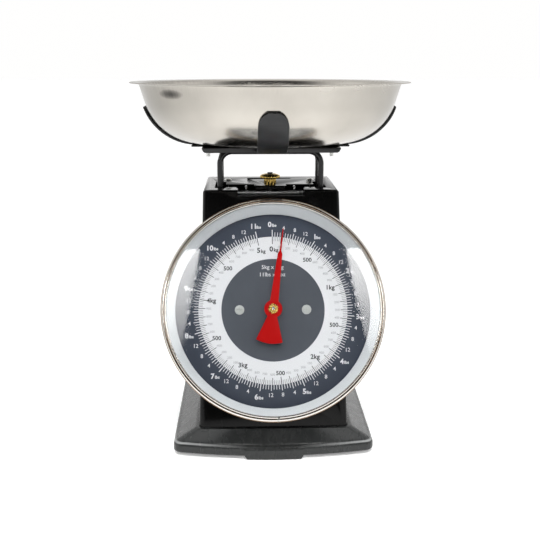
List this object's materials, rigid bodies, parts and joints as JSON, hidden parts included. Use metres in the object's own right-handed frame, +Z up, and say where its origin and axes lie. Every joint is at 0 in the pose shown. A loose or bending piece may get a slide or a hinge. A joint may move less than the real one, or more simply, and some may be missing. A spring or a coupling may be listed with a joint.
{
  "type": "mechanical dial kitchen scale",
  "caption": "Spring-hung mechanical kitchen scale: a steel bowl on a clawed platform, a wedge-shaped case with a sloping round dial, and a pressed base.",
  "frame": {"origin": "on the table under the middle of the whole scale's box; the bowl's axis stands 7.18 mm behind it", "axes": "+Z up, the dial faces -Y and leans back 23 degrees, +X to the viewer's right"},
  "size_m": [0.2048, 0.2192, 0.251],
  "materials": {
    "base_paint": "satin",
    "case_paint": "gloss",
    "frame_paint": "gloss",
    "strip_paint": "satin",
    "cover_paint": "satin",
    "foot_rubber": "matte",
    "bright_steel": "zinc plated",
    "zinc_plate": "zinc plated",
    "spring_wire": "bright",
    "dark_steel": "blackened",
    "brass": "bright",
    "surround_plastic": "satin light grey",
    "dial_paint": "printed, satin",
    "bezel_chrome": "polished",
    "lens_glass": "clear",
    "pointer_red": "gloss",
    "bowl_steel": "polished"
  },
  "bodies": {
    "case": {"base_pan": "base_paint", "rubber_feet": "foot_rubber", "case_shell": "case_paint", "rear_cover": "cover_paint", "rear_cover_screws": "bright_steel", "base_screws": "bright_steel", "dial_pan": "case_paint", "dial_pan_rivets": "bright_steel", "dial_surround": "surround_plastic", "dial_plate": "dial_paint", "dial_posts": "zinc_plate", "dial_screws": "bright_steel", "bezel": "bezel_chrome", "lens": "lens_glass", "movement_front_plate": "brass", "movement_back_plate": "brass", "movement_pillars": "brass", "movement_nuts": "bright_steel", "arbor_bushes": "brass", "spring_bridge": "cover_paint", "top_screws": "bright_steel", "upper_hinge_bracket": "zinc_plate", "lower_hinge_bracket": "zinc_plate", "hinge_pins": "bright_steel"},
    "load_frame": {"platform_tray": "frame_paint", "side_strip": "strip_paint", "front_back_strip": "strip_paint", "strip_screws": "bright_steel", "strip_nuts": "bright_steel", "front_bow": "frame_paint", "rear_bow": "frame_paint", "load_crossbar": "zinc_plate", "crossbar_nuts": "bright_steel", "arm_collars": "zinc_plate", "rack_hanger": "zinc_plate", "rack": "brass", "rack_screws": "bright_steel"},
    "bowl": {"bowl": "bowl_steel"},
    "pointer": {"pointer": "pointer_red", "pointer_hub": "brass", "arbor": "bright_steel", "pinion": "brass"},
    "zero_nut": {"zero_nut": "brass"},
    "spring_carrier": {"zero_stud": "dark_steel", "spring_yoke": "zinc_plate", "spring_left": "spring_wire", "spring_right": "spring_wire"},
    "upper_arm": {"upper_arm": "zinc_plate"},
    "lower_arm": {"lower_arm": "zinc_plate"}
  },
  "joints": [
    {"name": "platform_slide", "type": "slide", "parent": "case", "child": "load_frame", "axis": [0, 0, -1], "range_m": [-0.0011, 0.01452], "stiffness_N_per_m": 3300, "springref_m": -0.00197, "deforming": ["spring_left", "spring_right"]},
    {"name": "pointer_turn", "type": "hinge", "parent": "case", "child": "pointer", "pos_m": [0, -0.05554, 0.0932], "axis": [0, 0.9205, -0.3907], "range_deg": [-27, 342]},
    {"name": "bowl_lift", "type": "slide", "parent": "load_frame", "child": "bowl", "axis": [0, 0, 1], "range_m": [0, 0.12]},
    {"name": "zero_nut_turn", "type": "hinge", "parent": "case", "child": "zero_nut", "pos_m": [0, 0.00718, 0.175], "axis": [0, 0, 1], "range_deg": [-545, 545]},
    {"name": "yoke_rise", "type": "slide", "parent": "case", "child": "spring_carrier", "axis": [0, 0, 1], "range_m": [-0.00105, 0.00105]},
    {"name": "upper_arm_swing", "type": "hinge", "parent": "case", "child": "upper_arm", "pos_m": [0, 0.05176, 0.139], "axis": [1, 0, 0], "range_deg": [-1.6, 15]},
    {"name": "lower_arm_swing", "type": "hinge", "parent": "case", "child": "lower_arm", "pos_m": [0, 0.05176, 0.055], "axis": [1, 0, 0], "range_deg": [-1.6, 15]}
  ],
  "couplings": [
    {"joint": "pointer_turn", "follows": "platform_slide", "rad_per_m": 409.11},
    {"joint": "upper_arm_swing", "follows": "platform_slide", "rad_per_m": 17.26},
    {"joint": "lower_arm_swing", "follows": "platform_slide", "rad_per_m": 17.26},
    {"joint": "zero_nut_turn", "follows": "yoke_rise", "rad_per_m": -8976}
  ]
}
